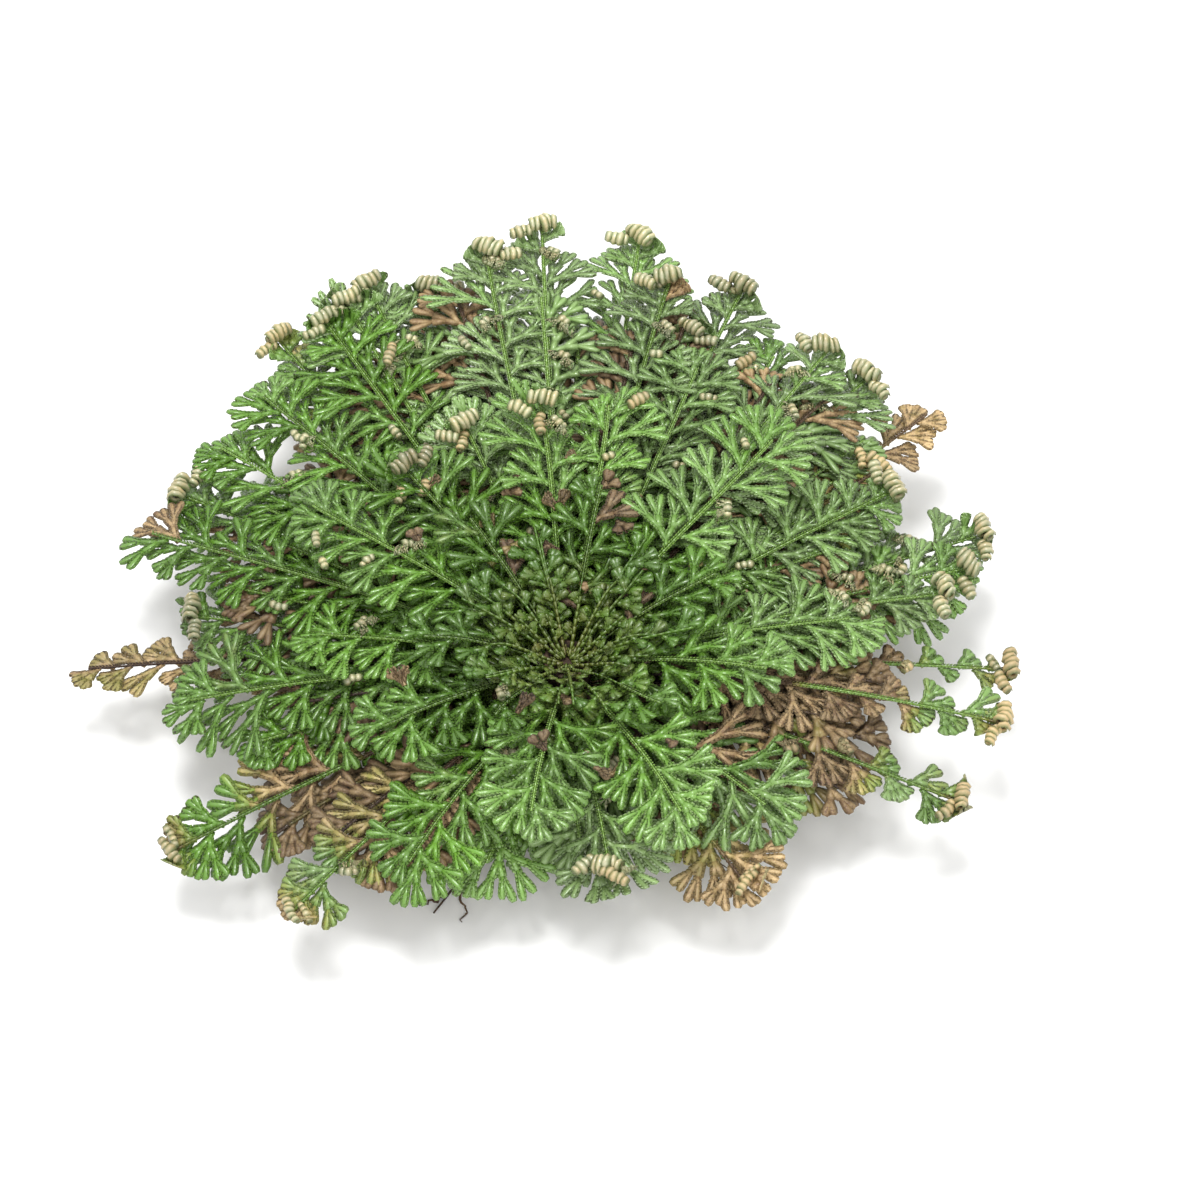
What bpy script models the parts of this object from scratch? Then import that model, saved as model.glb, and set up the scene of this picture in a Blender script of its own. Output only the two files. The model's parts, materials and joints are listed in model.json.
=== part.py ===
"""A rose of Jericho (resurrection plant), opened out after watering and lying on a table.

Flat fronds leave a short crown in a spiral. The oldest are the longest and lowest, and the youngest
stand in the funnel at the middle. The fronds are laid in tiers over one bowl-shaped surface, so that
each one is a separate blade resting just above the next. Below the crown are the woody rootstock,
whose cut base is the flat spot that the plant rests on, and a few wiry roots lying on the table.

The origin is the centre of the flat spot. +Z is up, and -Y is the side that the plant is seen from.
"""

import math
from collections import namedtuple

import bmesh
import bpy

MM = 0.001

# Crown and rootstock, millimetres
STOCK_BASE_RADIUS = 9.0
CROWN_FOOT = 7.4
CROWN_TOP = 18.5
CROWN_CUP = 17.0
CROWN_RADIUS = 5.0
ROUND_STEPS = 28
SEAT_GAP = 0.3

# The bowl that the lowest tier of fronds lies on
BOWL_START = 5.0
BOWL_RISE = 14.0
BOWL_RISE_REACH = 18.0
FAR_LIFT = 0.11
FAR_LIFT_FROM = 25.0
DROOP = 0.0009
DROOP_FROM = 45.0

# Each tier lies this far above the last, near the crown and further out
TIER_PITCH = 1.4
TIER_SPREAD = 1.2
TIER_SPREAD_REACH = 20.0

# Blades
BLADE_THICKNESS = 0.9
STALK_HALF_WIDTH = 1.1
STALK_TAPER = 0.13
SIDE_BRANCH_PITCH = 9.0
NOTCH_SHARE = 0.66
FORWARD_SWEEP = 0.45
ROLL_LENGTH = 9.0
ROLL_HALF_WIDTH = 4.2
ROLL_HEIGHT = 5.0

# Share of the rolled tip's length, half width and height, from its blade to its end
ROLL_PROFILE = [(0.3, 0.7, 0.45), (0.5, 1.0, 1.0), (0.8, 0.9, 0.9), (1.0, 0.5, 0.3)]

# The ring of youngest fronds in the funnel
HEART_FRONDS = 11
HEART_REACH = 14.0
HEART_TIER = 7

ROOT_RADIUS = 1.1

Frond = namedtuple("Frond", "azimuth reach width tier state")

# azimuth in degrees from +X, reach from the crown's axis to the tip and width in millimetres
OUTER_FRONDS = [
    Frond(359, 97, 16, 0, "withered"),
    Frond(9, 85, 15, 2, "rolled"),
    Frond(14, 92, 20, 1, "rolled"),
    Frond(20, 99, 20, 0, "rolled"),
    Frond(29, 84, 17, 2, "rolled"),
    Frond(39, 101, 14, 0, "flat"),
    Frond(46, 100, 20, 1, "rolled"),
    Frond(53, 98, 20, 2, "rolled"),
    Frond(60, 90, 20, 0, "flat"),
    Frond(67, 105, 20, 1, "rolled"),
    Frond(76, 100, 18, 2, "rolled"),
    Frond(82, 114, 20, 0, "rolled"),
    Frond(93, 114, 21, 1, "rolled"),
    Frond(100, 107, 22, 2, "rolled"),
    Frond(108, 104, 22, 0, "rolled"),
    Frond(115, 108, 22, 1, "rolled"),
    Frond(128, 108, 16, 0, "withered"),
    Frond(137, 92, 21, 2, "flat"),
    Frond(146, 92, 22, 1, "flat"),
    Frond(154, 98, 22, 0, "rolled"),
    Frond(162, 94, 21, 2, "flat"),
    Frond(173, 84, 21, 1, "rolled"),
    Frond(181, 102, 15, 0, "dead"),
    Frond(190, 80, 24, 2, "flat"),
    Frond(200, 68, 19, 1, "flat"),
    Frond(210, 96, 22, 0, "withered"),
    Frond(229, 86, 22, 1, "withered"),
    Frond(240, 62, 24, 2, "flat"),
    Frond(252, 53, 24, 0, "flat"),
    Frond(279, 58, 25, 1, "rolled"),
    Frond(303, 68, 24, 0, "withered"),
    Frond(316, 57, 24, 2, "flat"),
    Frond(336, 92, 25, 1, "withered"),
    Frond(348, 96, 21, 2, "withered"),
]

MIDDLE_FRONDS = [
    Frond(5, 60, 22, 3, "flat"),
    Frond(47, 64, 21, 5, "flat"),
    Frond(68, 74, 20, 3, "flat"),
    Frond(82, 58, 19, 4, "flat"),
    Frond(97, 60, 19, 5, "rolled"),
    Frond(113, 62, 20, 3, "rolled"),
    Frond(131, 58, 20, 4, "rolled"),
    Frond(151, 62, 20, 5, "flat"),
    Frond(179, 52, 21, 3, "flat"),
    Frond(212, 44, 20, 4, "flat"),
    Frond(262, 46, 21, 5, "flat"),
    Frond(297, 50, 21, 4, "flat"),
    Frond(346, 43, 20, 5, "flat"),
]

INNER_FRONDS = [
    Frond(22, 34, 15, 6, "flat"),
    Frond(78, 36, 15, 6, "flat"),
    Frond(128, 34, 15, 6, "flat"),
    Frond(186, 30, 14, 6, "flat"),
    Frond(238, 26, 13, 6, "flat"),
    Frond(318, 27, 13, 6, "flat"),
]

# azimuth, reach and how far the tip turns aside, for each root on the table
Root = namedtuple("Root", "azimuth reach turn")
ROOTS = [
    Root(250, 66, -10),
    Root(30, 52, 16),
    Root(112, 58, -14),
    Root(178, 50, 12),
]


def make_material(name, colour, roughness):
    material = bpy.data.materials.new(name)
    material.use_nodes = True
    shader = material.node_tree.nodes["Principled BSDF"]
    shader.inputs["Base Color"].default_value = (*colour, 1.0)
    shader.inputs["Roughness"].default_value = roughness
    return material


def bowl(radius, azimuth):
    """Height of the lowest tier over the table."""
    rise = BOWL_RISE * (1 - math.exp(-radius / BOWL_RISE_REACH))
    away = max(0.0, math.sin(math.radians(azimuth)))
    lift = FAR_LIFT * away * max(0.0, radius - FAR_LIFT_FROM)
    droop = DROOP * (1 - 0.6 * away) * max(0.0, radius - DROOP_FROM) ** 2
    return BOWL_START + rise + lift - droop


def tier_height(x, y, tier):
    """Height of the middle of a blade of this tier, at a place in plan."""
    radius = math.hypot(x, y)
    spread = TIER_SPREAD * (1 - math.exp(-radius / TIER_SPREAD_REACH))
    return bowl(radius, math.degrees(math.atan2(y, x))) + tier * (TIER_PITCH + spread)


def loft(bm, rings):
    """Joins rings of vertices end to end and closes both ends."""
    count = len(rings[0])
    made = [[bm.verts.new([value * MM for value in point]) for point in ring] for ring in rings]
    for first, second in zip(made, made[1:]):
        for i in range(count):
            j = (i + 1) % count
            bm.faces.new((first[i], first[j], second[j], second[i]))
    bm.faces.new(made[0][::-1])
    bm.faces.new(made[-1])


def finish(bm, name, material, sharp_angle=40):
    bmesh.ops.triangulate(bm, faces=bm.faces[:])
    bmesh.ops.recalc_face_normals(bm, faces=bm.faces[:])
    mesh = bpy.data.meshes.new(name)
    bm.to_mesh(mesh)
    bm.free()
    mesh.materials.append(material)
    mesh.shade_smooth()
    mesh.set_sharp_from_angle(angle=math.radians(sharp_angle))
    obj = bpy.data.objects.new(name, mesh)
    bpy.context.scene.collection.objects.link(obj)
    return obj


def stalk_half_width(along):
    """The stalks narrow towards the crown, where there is little room between them."""
    return min(STALK_HALF_WIDTH, STALK_TAPER * along)


def outline_half_width(share, width):
    """Half the width of a frond's egg-shaped outline at a share of its length."""
    egg = math.sin(math.pi * share ** 1.2) ** 0.7
    opening = min(1.0, max(0.0, (share - 0.04) / 0.25))
    return width / 2 * egg * opening


def blade_stations(frond):
    """(distance along, left half width, right half width, thickness above, thickness below)."""
    start = CROWN_RADIUS + SEAT_GAP
    end = frond.reach
    rolled = frond.state in ("rolled", "withered")
    blade_end = end - ROLL_LENGTH if rolled else end - 1.5
    steps = 2 * max(3, round((blade_end - start) / SIDE_BRANCH_PITCH))
    half = BLADE_THICKNESS / 2
    stations = []
    for i in range(steps + 1):
        along = start + (blade_end - start) * i / steps
        share = (along - start) / (end - start)
        stalk = stalk_half_width(along)
        wide = max(stalk, outline_half_width(min(share, 0.93), frond.width))
        notched = max(stalk, wide * NOTCH_SHARE)
        left, right = (wide, notched) if i % 2 else (notched, wide)
        stations.append((along, left, right, half, half))
    if rolled:
        for share, wide, tall in ROLL_PROFILE:
            along = blade_end + ROLL_LENGTH * share
            roll = ROLL_HALF_WIDTH * wide
            stations.append((along, roll, roll, ROLL_HEIGHT * tall, half))
    else:
        stations.append((end, STALK_HALF_WIDTH, STALK_HALF_WIDTH, half / 2, half / 2))
    return stations


def make_frond(name, frond, material):
    """A lobed blade with a lens-shaped section, laid on its tier of the bowl."""
    turn = math.radians(frond.azimuth)
    ahead = (math.cos(turn), math.sin(turn))
    aside = (-ahead[1], ahead[0])

    def place(along, across, lift):
        x = along * ahead[0] + across * aside[0]
        y = along * ahead[1] + across * aside[1]
        return (x, y, tier_height(x, y, frond.tier) + lift)

    rings = []
    for along, left, right, above, below in blade_stations(frond):
        sweep = FORWARD_SWEEP if along < frond.reach - ROLL_LENGTH else 0
        stalk = stalk_half_width(along)
        rings.append(
            [
                place(along + sweep * (left - stalk), left, 0),
                place(along, 0, above),
                place(along + sweep * (right - stalk), -right, 0),
                place(along, 0, -below),
            ]
        )
    bm = bmesh.new()
    loft(bm, rings)
    return finish(bm, name, material)


def make_heart(material):
    """The youngest fronds, joined where they rise from the growing point: a star-shaped funnel."""
    ring_count = 4
    hub = CROWN_RADIUS * 0.6
    steps = 2 * HEART_FRONDS
    half = BLADE_THICKNESS / 2

    def point(radius, i, lift):
        angle = 2 * math.pi * i / steps
        x, y = radius * math.cos(angle), radius * math.sin(angle)
        return (x, y, tier_height(x, y, HEART_TIER) + lift)

    upper, lower = [], []
    for k in range(ring_count + 1):
        share = k / ring_count
        tip = hub + (HEART_REACH - hub) * share
        notch = hub + (HEART_REACH * 0.62 - hub) * share
        radii = [tip if i % 2 else notch for i in range(steps)]
        thickness = half * (1.6 - share)
        upper.append([point(r, i, thickness) for i, r in enumerate(radii)])
        lower.append([point(r, i, -thickness) for i, r in enumerate(radii)])
    bm = bmesh.new()
    loft(bm, upper + lower[::-1])
    return finish(bm, "heart_of_young_fronds", material)


def make_turned(name, profile, material):
    """A round body from (radius, height) pairs, turned about the plant's axis."""
    rings = []
    for radius, height in profile:
        ring = []
        for i in range(ROUND_STEPS):
            angle = 2 * math.pi * i / ROUND_STEPS
            ring.append((radius * math.cos(angle), radius * math.sin(angle), height))
        rings.append(ring)
    bm = bmesh.new()
    loft(bm, rings)
    return finish(bm, name, material)


def make_root(name, root, material):
    """A wiry root that leaves the rootstock's foot and lies along the table."""
    curve = bpy.data.curves.new(name, "CURVE")
    curve.dimensions = "3D"
    curve.bevel_depth = ROOT_RADIUS * MM
    curve.bevel_resolution = 2
    curve.use_fill_caps = True
    curve.materials.append(material)
    start = STOCK_BASE_RADIUS + SEAT_GAP
    steps = 16
    spline = curve.splines.new("POLY")
    spline.points.add(steps)
    for i in range(steps + 1):
        share = i / steps
        radius = start + (root.reach - start) * share
        angle = math.radians(root.azimuth + root.turn * math.sin(2.2 * share) * share)
        x, y = radius * math.cos(angle), radius * math.sin(angle)
        spline.points[i].co = (x * MM, y * MM, ROOT_RADIUS * MM, 1)
        spline.points[i].radius = 1.0
    obj = bpy.data.objects.new(name, curve)
    bpy.context.scene.collection.objects.link(obj)
    return obj


def main():
    for obj in list(bpy.data.objects):
        bpy.data.objects.remove(obj, do_unlink=True)

    fronds = {
        "flat": make_material("fresh_frond", (0.09, 0.22, 0.05), 0.45),
        "rolled": make_material("grey_green_frond", (0.13, 0.24, 0.10), 0.55),
        "withered": make_material("withered_frond", (0.33, 0.22, 0.11), 0.75),
        "dead": make_material("dead_frond", (0.28, 0.16, 0.07), 0.8),
    }
    bark = make_material("rootstock_bark", (0.10, 0.06, 0.035), 0.9)

    # The rootstock's cut base is flat, and its top takes the crown.
    stock_top = CROWN_FOOT - SEAT_GAP
    make_turned(
        "rootstock",
        [
            (STOCK_BASE_RADIUS - 1.0, 0.0),
            (STOCK_BASE_RADIUS, 0.9),
            (STOCK_BASE_RADIUS - 0.8, 3.0),
            (STOCK_BASE_RADIUS - 3.0, 5.6),
            (CROWN_RADIUS - 0.6, stock_top),
        ],
        bark,
    )
    make_turned(
        "crown",
        [
            (CROWN_RADIUS - 0.6, CROWN_FOOT),
            (CROWN_RADIUS, CROWN_FOOT + 0.6),
            (CROWN_RADIUS, CROWN_TOP),
            (CROWN_RADIUS - 0.6, CROWN_TOP),
            (CROWN_RADIUS - 2.1, CROWN_CUP),
        ],
        bark,
    )
    make_heart(fronds["flat"])
    rows = (("outer", OUTER_FRONDS), ("middle", MIDDLE_FRONDS), ("inner", INNER_FRONDS))
    for place, members in rows:
        for number, frond in enumerate(members, start=1):
            make_frond(f"{place}_frond_{number:02d}", frond, fronds[frond.state])
    for number, root in enumerate(ROOTS, start=1):
        make_root(f"root_{number}", root, bark)


main()
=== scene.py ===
# %% [markdown]
# # A rose of Jericho, opened after watering
#
# The plant is a rosette of flat fronds, and every frond is a feather of small fans: a rib with side
# branches that fork up to three times into rounded fingers, all covered with scale leaves about a
# millimetre long. Some tips are still curled up from the dry season and show their cream undersides,
# and some old fronds are tan or brown. Four small parts make all of it: a stretch of stem, a fingertip,
# a scale leaf and a curled finger. Copies of them are laid out flat and bent onto the CAD's blades.

import json
import math
from collections import namedtuple

import bpy
import numpy as np
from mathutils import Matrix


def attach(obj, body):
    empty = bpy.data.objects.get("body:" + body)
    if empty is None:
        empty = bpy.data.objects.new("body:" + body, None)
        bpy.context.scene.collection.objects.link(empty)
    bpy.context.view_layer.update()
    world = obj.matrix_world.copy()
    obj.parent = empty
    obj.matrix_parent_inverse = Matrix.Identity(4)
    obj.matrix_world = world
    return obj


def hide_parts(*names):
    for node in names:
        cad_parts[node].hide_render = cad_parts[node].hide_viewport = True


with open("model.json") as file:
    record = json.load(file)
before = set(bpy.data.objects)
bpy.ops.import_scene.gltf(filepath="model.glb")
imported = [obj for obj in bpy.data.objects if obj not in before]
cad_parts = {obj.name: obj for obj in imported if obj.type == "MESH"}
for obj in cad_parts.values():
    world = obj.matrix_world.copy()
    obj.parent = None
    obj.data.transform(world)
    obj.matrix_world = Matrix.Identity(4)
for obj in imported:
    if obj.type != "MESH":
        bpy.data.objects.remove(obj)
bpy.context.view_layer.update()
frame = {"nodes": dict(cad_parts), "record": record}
MM = 0.001
nodes = frame["nodes"]
slots = {entry["node"]: entry["material_slot"] for entry in frame["record"]["subparts"]}

# %% [markdown]
# The camera stands in front of the plant, 55 degrees above the table, as the photograph's did. A long
# lens from 0.8 m away gives the photograph's weak perspective. The plant's middle is a little left of
# and above the middle of the picture, so the camera looks at a point beside the growing tip.

# %% The camera
ELEVATION = math.radians(55)
DISTANCE = 800.0
LOOK_AT = np.array([7.02, 9.59, 26.71])
LENS = 112.8
SENSOR_WIDTH = 36.0


def add_object(name, data):
    obj = bpy.data.objects.new(name, data)
    bpy.context.scene.collection.objects.link(obj)
    return obj


camera_data = bpy.data.cameras.new("camera")
camera_data.lens = LENS
camera_data.sensor_width = SENSOR_WIDTH
camera_data.clip_start = 10 * MM
camera = add_object("camera", camera_data)
offset = np.array([0.0, -math.cos(ELEVATION), math.sin(ELEVATION)]) * DISTANCE
camera.location = (LOOK_AT + offset) * MM
camera.rotation_euler = (math.pi / 2 - ELEVATION, 0, 0)
bpy.context.scene.camera = camera
print("camera at", [round(value, 4) for value in camera.location])

# %% [markdown]
# The plant lies on white paper, which in soft light looks almost pure white, with pale grey shadows. It
# is one flat square with a nearly white, dull finish, so wide that its edge is out of the picture.

# %% The table
TABLE_HALF = 3.0
TABLE_WHITE = (0.93, 0.93, 0.925, 1)

table_data = bpy.data.meshes.new("table")
corners = [(TABLE_HALF * x, TABLE_HALF * y, 0) for x, y in ((-1, -1), (1, -1), (1, 1), (-1, 1))]
table_data.from_pydata(corners, [], [(0, 1, 2, 3)])
table = add_object("table", table_data)

paper = bpy.data.materials.new("white_table")
paper.use_nodes = True
paper_shader = paper.node_tree.nodes["Principled BSDF"]
paper_shader.inputs["Base Color"].default_value = TABLE_WHITE
paper_shader.inputs["Roughness"].default_value = 0.7
table_data.materials.append(paper)
print("a table", 2 * TABLE_HALF, "m across")

# %% [markdown]
# A big soft light hangs above the plant, a little behind and to its left, and a weaker one in front
# fills the near side. The room is white all round, so the shadows are light and there is no horizon.

# %% The lights and the room


def soft_light(name, place, size, watts):
    """A round area light that points at the foot of the plant."""
    light_data = bpy.data.lights.new(name, "AREA")
    light_data.shape = "DISK"
    light_data.size = size
    light_data.energy = watts
    light = add_object(name, light_data)
    light.location = place
    ahead = -np.array(place)
    light.rotation_euler = (math.atan2(math.hypot(ahead[0], ahead[1]), -ahead[2]), 0,
                            math.atan2(ahead[0], -ahead[1]) + math.pi)


soft_light("sky_light", (-0.10, 0.14, 1.15), 0.42, 9)
soft_light("front_light", (0.35, -0.9, 0.9), 0.6, 3)

world = bpy.data.worlds.new("white_room")
bpy.context.scene.world = world
bpy.context.scene.view_settings.view_transform = "Standard"
world.use_nodes = True
world.node_tree.nodes["Background"].inputs["Color"].default_value = (1, 1, 1, 1)
world.node_tree.nodes["Background"].inputs["Strength"].default_value = 1.0
print("two soft lights and a white room")

# %% [markdown]
# Every finish is a sum of masks. A small class wraps a node's output, so that a mask can be written as
# plain arithmetic, and one method makes any other kind of node.

# %% Shader arithmetic


class Wire:
    """A socket that can be added, subtracted and multiplied like a number."""

    def __init__(self, tree, socket):
        self.tree = tree
        self.socket = socket

    def math(self, operation, *values, clamp=False):
        node = self.tree.nodes.new("ShaderNodeMath")
        node.operation = operation
        node.use_clamp = clamp
        for socket, value in zip(node.inputs, values):
            plug(socket, value)
        return Wire(self.tree, node.outputs[0])

    def __add__(self, other):
        return self.math("ADD", self, other)

    def __sub__(self, other):
        return self.math("SUBTRACT", self, other)

    def __rsub__(self, other):
        return self.math("SUBTRACT", other, self)

    def __mul__(self, other):
        return self.math("MULTIPLY", self, other)

    __radd__ = __add__
    __rmul__ = __mul__

    def ramp(self, low, high):
        """0 up to low, 1 from high on, and straight between."""
        return self.math("MULTIPLY", self - low, 1 / (high - low), clamp=True)


def plug(socket, value):
    """Links a wire to a socket, or sets the socket to a number or a colour."""
    if isinstance(value, Wire):
        value.tree.links.new(value.socket, socket)
    else:
        socket.default_value = (*value, 1) if isinstance(value, tuple) else value


class Finish:
    """A material and the nodes that its finish is made of."""

    def __init__(self, name):
        self.material = bpy.data.materials.new(name)
        self.material.use_nodes = True
        self.tree = self.material.node_tree
        self.shader = self.tree.nodes["Principled BSDF"]

    def node(self, kind, **sockets):
        """Makes a node and gives its sockets values or links."""
        node = self.tree.nodes.new(kind)
        for name, value in sockets.items():
            plug(node.inputs[name], value)
        return node

    def attribute(self, name):
        """The three numbers that the piece's mesh keeps for each of its points or faces."""
        node = self.node("ShaderNodeAttribute")
        node.attribute_name = name
        parts = self.node("ShaderNodeSeparateXYZ", Vector=Wire(self.tree, node.outputs["Vector"]))
        return [Wire(self.tree, parts.outputs[axis]) for axis in "XYZ"]

    def noise(self, scale, detail, rough=0.5):
        """Noise on the piece's own coordinates."""
        place = Wire(self.tree, self.node("ShaderNodeTexCoord").outputs["Object"])
        node = self.node("ShaderNodeTexNoise", Vector=place, Scale=scale, Detail=detail, Roughness=rough)
        return Wire(self.tree, node.outputs["Fac"])

    def mix(self, factor, first, second):
        """Blends two colours, each a tuple or a wire."""
        node = self.tree.nodes.new("ShaderNodeMix")
        node.data_type = "RGBA"
        for index, value in ((0, factor), (6, first), (7, second)):
            plug(node.inputs[index], value)
        return Wire(self.tree, node.outputs[2])

    def feed(self, name, value):
        plug(self.shader.inputs[name], value)

    def bump(self, height, strength, distance):
        node = self.node("ShaderNodeBump", Height=height, Strength=strength, Distance=distance)
        self.feed("Normal", Wire(self.tree, node.outputs["Normal"]))


# %% [markdown]
# One finish covers every frond, because fresh, grey and withered tissue run into each other on the
# same frond. Each mesh keeps two sets of three numbers for its points: `tone` says how withered, how
# grey and how light the tissue is, and the light number also carries painted shade on old fronds that
# lie under others. `leaf` says how near the point is to a pale margin, how much it belongs to the rib,
# and how dark a fingertip is; low margin numbers get painted shade, at the base of each scale leaf and
# on the flanks of each curl, and the pale margins are partly a painted highlight. A number for each
# face, `under`, tells the underside, which is cream where it shows. The leaves are damp, so they shine,
# and dead ones are dull.

# %% The finish of the fronds
# The deep colours are painted shade for leaf bases and curl flanks; the pale green and grey are leaf
# margins with a painted highlight.
FRESH_SHADED = (0.030, 0.085, 0.007)
FRESH = (0.150, 0.330, 0.030)
FRESH_PALE_AND_SHEEN = (0.380, 0.580, 0.170)
GREY_SHADED = (0.070, 0.125, 0.030)
GREY = (0.235, 0.345, 0.130)
GREY_PALE_AND_SHEEN = (0.520, 0.610, 0.410)
OLIVE = (0.220, 0.230, 0.040)
TAN = (0.205, 0.130, 0.050)
TAN_PALE = (0.420, 0.305, 0.150)
RUST = (0.135, 0.058, 0.024)
DARK_BROWN = (0.050, 0.024, 0.013)
RIB_GREEN = (0.230, 0.390, 0.070)
CREAM = (0.375, 0.355, 0.235)
DAMP_SHINE = 0.75


def frond_finish():
    finish = Finish("frond_tissue")
    mix = finish.mix
    wither, grey, light = finish.attribute("tone")
    margin_and_shade, rib, tip = finish.attribute("leaf")
    under = finish.attribute("under")[0]
    mottle = finish.noise(420.0, 3.0)
    fine = finish.noise(2600.0, 2.0)
    grey_now = (grey + (mottle - 0.5) * 0.5).ramp(0.0, 1.0)
    painted_shade = mix(grey_now, FRESH_SHADED, GREY_SHADED)
    body = mix(grey_now, FRESH, GREY)
    pale_and_sheen = mix(grey_now, FRESH_PALE_AND_SHEEN, GREY_PALE_AND_SHEEN)
    body = mix(rib, body, RIB_GREEN)
    # Painted shade darkens the base of each scale leaf, where the leaves overlap.
    leaf = mix(margin_and_shade.ramp(0.0, 0.45), painted_shade, body)
    # The pale outer side and tip of a leaf is its pale margin, partly a painted highlight, stronger where
    # the tissue is light.
    leaf = mix((margin_and_shade * (0.55 + light * 0.7)).ramp(0.5, 1.15), leaf, pale_and_sheen)
    leaf = mix((wither + (mottle - 0.5) * 0.3).ramp(0.12, 0.42), leaf, OLIVE)
    dead = mix((margin_and_shade * 0.7 + light * 0.3 + (mottle - 0.5)).ramp(0.1, 0.8), TAN, TAN_PALE)
    dead = mix((fine * 0.6 + (1 - mottle) * 0.5).ramp(0.52, 0.72) * 0.8, dead, RUST)
    leaf = mix((wither + (mottle - 0.5) * 0.35).ramp(0.35, 0.62), leaf, dead)
    leaf = mix(rib * wither.ramp(0.4, 0.6) * 0.85, leaf, DARK_BROWN)
    leaf = mix((wither + (fine - 0.5) * 0.3).ramp(0.72, 1.0), leaf, DARK_BROWN)
    back = mix((mottle + fine * 0.4 + wither * 0.5).ramp(0.55, 1.00), CREAM, TAN_PALE)
    # Painted shade on the underside where the margin number is low, most of all on the flanks of each curl.
    back = mix((1 - margin_and_shade.ramp(0.05, 0.5)) * (0.45 + fine * 0.7), back, GREY_SHADED)
    colour = mix(under * 0.92, leaf, back)
    colour = mix(tip * 0.85, colour, DARK_BROWN)
    # The light number sets the brightness; on the old fronds underneath it also carries painted shade.
    shade = finish.node("ShaderNodeHueSaturation", Color=colour, Value=0.62 + light * 0.76)
    finish.feed("Base Color", Wire(finish.tree, shade.outputs["Color"]))
    finish.feed("Roughness", 0.17 + fine * 0.22 + wither * 0.45)
    finish.shader.inputs["Specular IOR Level"].default_value = DAMP_SHINE
    finish.bump(fine, 0.35, 0.15 * MM)
    return finish.material


frond_tissue = frond_finish()
print(frond_tissue.name, "has", len(frond_tissue.node_tree.nodes), "nodes")

# %% [markdown]
# The crown, the rootstock and the roots are old, dry and nearly black, with a coarse grain and a few
# lighter, worn patches. Two noises are enough for that, and the grain also gives the bump.

# %% The bark
BARK_DARK = (0.020, 0.011, 0.007)
BARK = (0.120, 0.070, 0.040)
BARK_WORN = (0.200, 0.130, 0.070)


def bark_finish():
    finish = Finish("dark_bark")
    grain = finish.noise(900.0, 5.0, 0.65)
    patches = finish.noise(160.0, 2.0)
    colour = finish.mix(grain.ramp(0.35, 0.7), BARK_DARK, BARK)
    colour = finish.mix(patches.ramp(0.55, 0.75) * 0.6, colour, BARK_WORN)
    finish.feed("Base Color", colour)
    finish.shader.inputs["Roughness"].default_value = 0.85
    finish.bump(grain, 0.8, 0.6 * MM)
    return finish.material


dark_bark = bark_finish()
print(dark_bark.name, "has", len(dark_bark.node_tree.nodes), "nodes")

# %% [markdown]
# The small parts are modelled by hand. Each lies along +X with its foot at the origin, about one unit
# long, and is read into arrays at once: its points, its triangles, and which triangles look down.

# %% Starting and finishing a small part


def start_part(add, **settings):
    bpy.ops.object.select_all(action="DESELECT")
    add(**settings)
    bpy.ops.object.mode_set(mode="EDIT")


def select_where(test):
    """Selects the vertices for which the test of their place holds. It leaves edit mode on."""
    bpy.ops.object.mode_set(mode="OBJECT")
    mesh = bpy.context.object.data
    for item in [*mesh.polygons, *mesh.edges]:
        item.select = False
    for vertex in mesh.vertices:
        vertex.select = test(vertex.co)
    bpy.ops.object.mode_set(mode="EDIT")
    bpy.ops.mesh.select_mode(type="VERT")


def end_part(name):
    """Makes the part triangles and returns its points, its triangles and which of them look down."""
    bpy.ops.mesh.select_all(action="SELECT")
    bpy.ops.mesh.quads_convert_to_tris()
    bpy.ops.mesh.normals_make_consistent(inside=False)
    bpy.ops.object.mode_set(mode="OBJECT")
    bpy.ops.object.transform_apply(location=True, rotation=True, scale=True)
    part = bpy.context.object
    points = np.array([vertex.co[:] for vertex in part.data.vertices])
    faces = np.array([face.vertices[:] for face in part.data.polygons])
    under = np.array([face.normal.z < -0.3 for face in part.data.polygons], float)
    bpy.data.objects.remove(part, do_unlink=True)
    print(name, len(faces), "triangles, from", points.min(0).round(2), "to", points.max(0).round(2))
    return points, faces, under


# %% [markdown]
# A stretch of stem is a stick with a ridge on top and a flat underside. The fingertip is the same
# stick, widening, and drawn out twice at its end so that it rounds off. Three sides are enough, because
# both are small and there are tens of thousands of them.

# %% The stretch of stem and the fingertip
TRIANGLE_TO_WIDTH = 1.155


def start_stick(radius, end_radius, depth):
    start_part(bpy.ops.mesh.primitive_cone_add, vertices=3, radius1=radius, radius2=end_radius,
               depth=depth, location=(depth / 2, 0, 0), rotation=(math.pi / 2, 0, math.pi / 2))
    bpy.ops.mesh.select_all(action="SELECT")
    bpy.ops.transform.resize(value=(1, TRIANGLE_TO_WIDTH, 1), center_override=(0, 0, 0))


start_stick(1.0, 1.08, 1.0)
stretch = end_part("stretch of stem")

start_stick(0.60, 0.98, 0.6)
select_where(lambda place: place.z > 0.29)
bpy.ops.mesh.extrude_region_move(TRANSFORM_OT_translate={"value": (0.24, 0, 0)})
bpy.ops.mesh.extrude_region_move(TRANSFORM_OT_translate={"value": (0.16, 0, 0)})
bpy.ops.transform.resize(value=(1, 0.55, 0.5))
fingertip = end_part("fingertip")

# %% [markdown]
# A scale leaf is a low three-sided pyramid. Its foot and its two shoulders lie flat, and its top is
# pushed forwards until it is the raised tip of the leaf. That shape costs only four triangles.

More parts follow.
